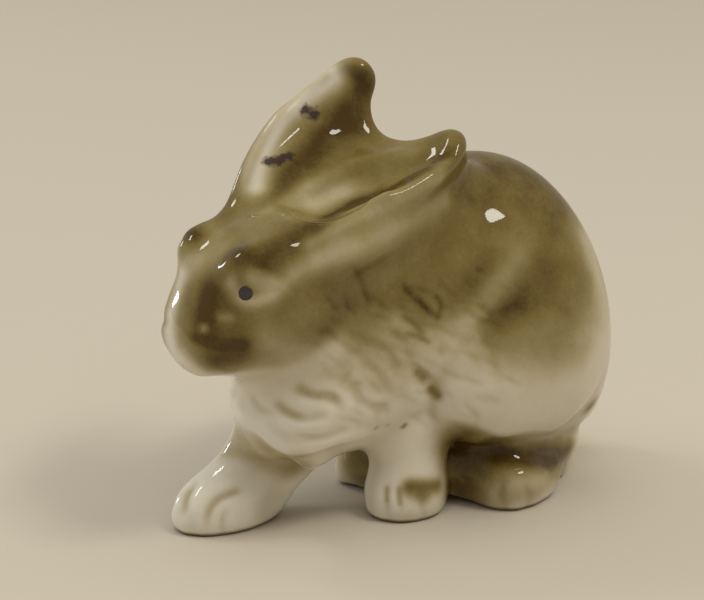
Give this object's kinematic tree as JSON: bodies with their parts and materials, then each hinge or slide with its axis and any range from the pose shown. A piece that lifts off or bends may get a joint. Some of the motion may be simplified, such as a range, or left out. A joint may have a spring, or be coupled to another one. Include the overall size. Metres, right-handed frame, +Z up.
{
  "type": "ceramic rabbit figurine",
  "caption": "Glazed porcelain rabbit figurine creeping forward, a raised ear and a laid-back ear, soft brown shading over white; a free-standing shelf ornament.",
  "frame": {"origin": "under the middle of the figure's box, on the surface that it stands on", "axes": "+Z up, -Y the way that the nose points, +X the rabbit's left"},
  "size_m": [0.0268, 0.053, 0.0449],
  "materials": {
    "glazed_body": "clear glossy glaze over white porcelain with airbrushed olive-brown underglaze",
    "luting_slip": "fired porcelain slip, unglazed",
    "eye_enamel": "dark glossy enamel dot"
  },
  "bodies": {
    "root": {"body_casting": "glazed_body", "head_casting": "glazed_body", "left_ear": "glazed_body", "right_ear": "glazed_body", "left_foreleg": "glazed_body", "right_foreleg": "glazed_body", "left_hind_foot": "glazed_body", "right_hind_foot": "glazed_body", "tail": "glazed_body", "neck_slip": "luting_slip", "left_ear_slip": "luting_slip", "right_ear_slip": "luting_slip", "left_foreleg_slip": "luting_slip", "right_foreleg_slip": "luting_slip", "left_hind_foot_slip": "luting_slip", "right_hind_foot_slip": "luting_slip", "tail_slip": "luting_slip", "left_eye": "eye_enamel", "right_eye": "eye_enamel"}
  },
  "joints": []
}
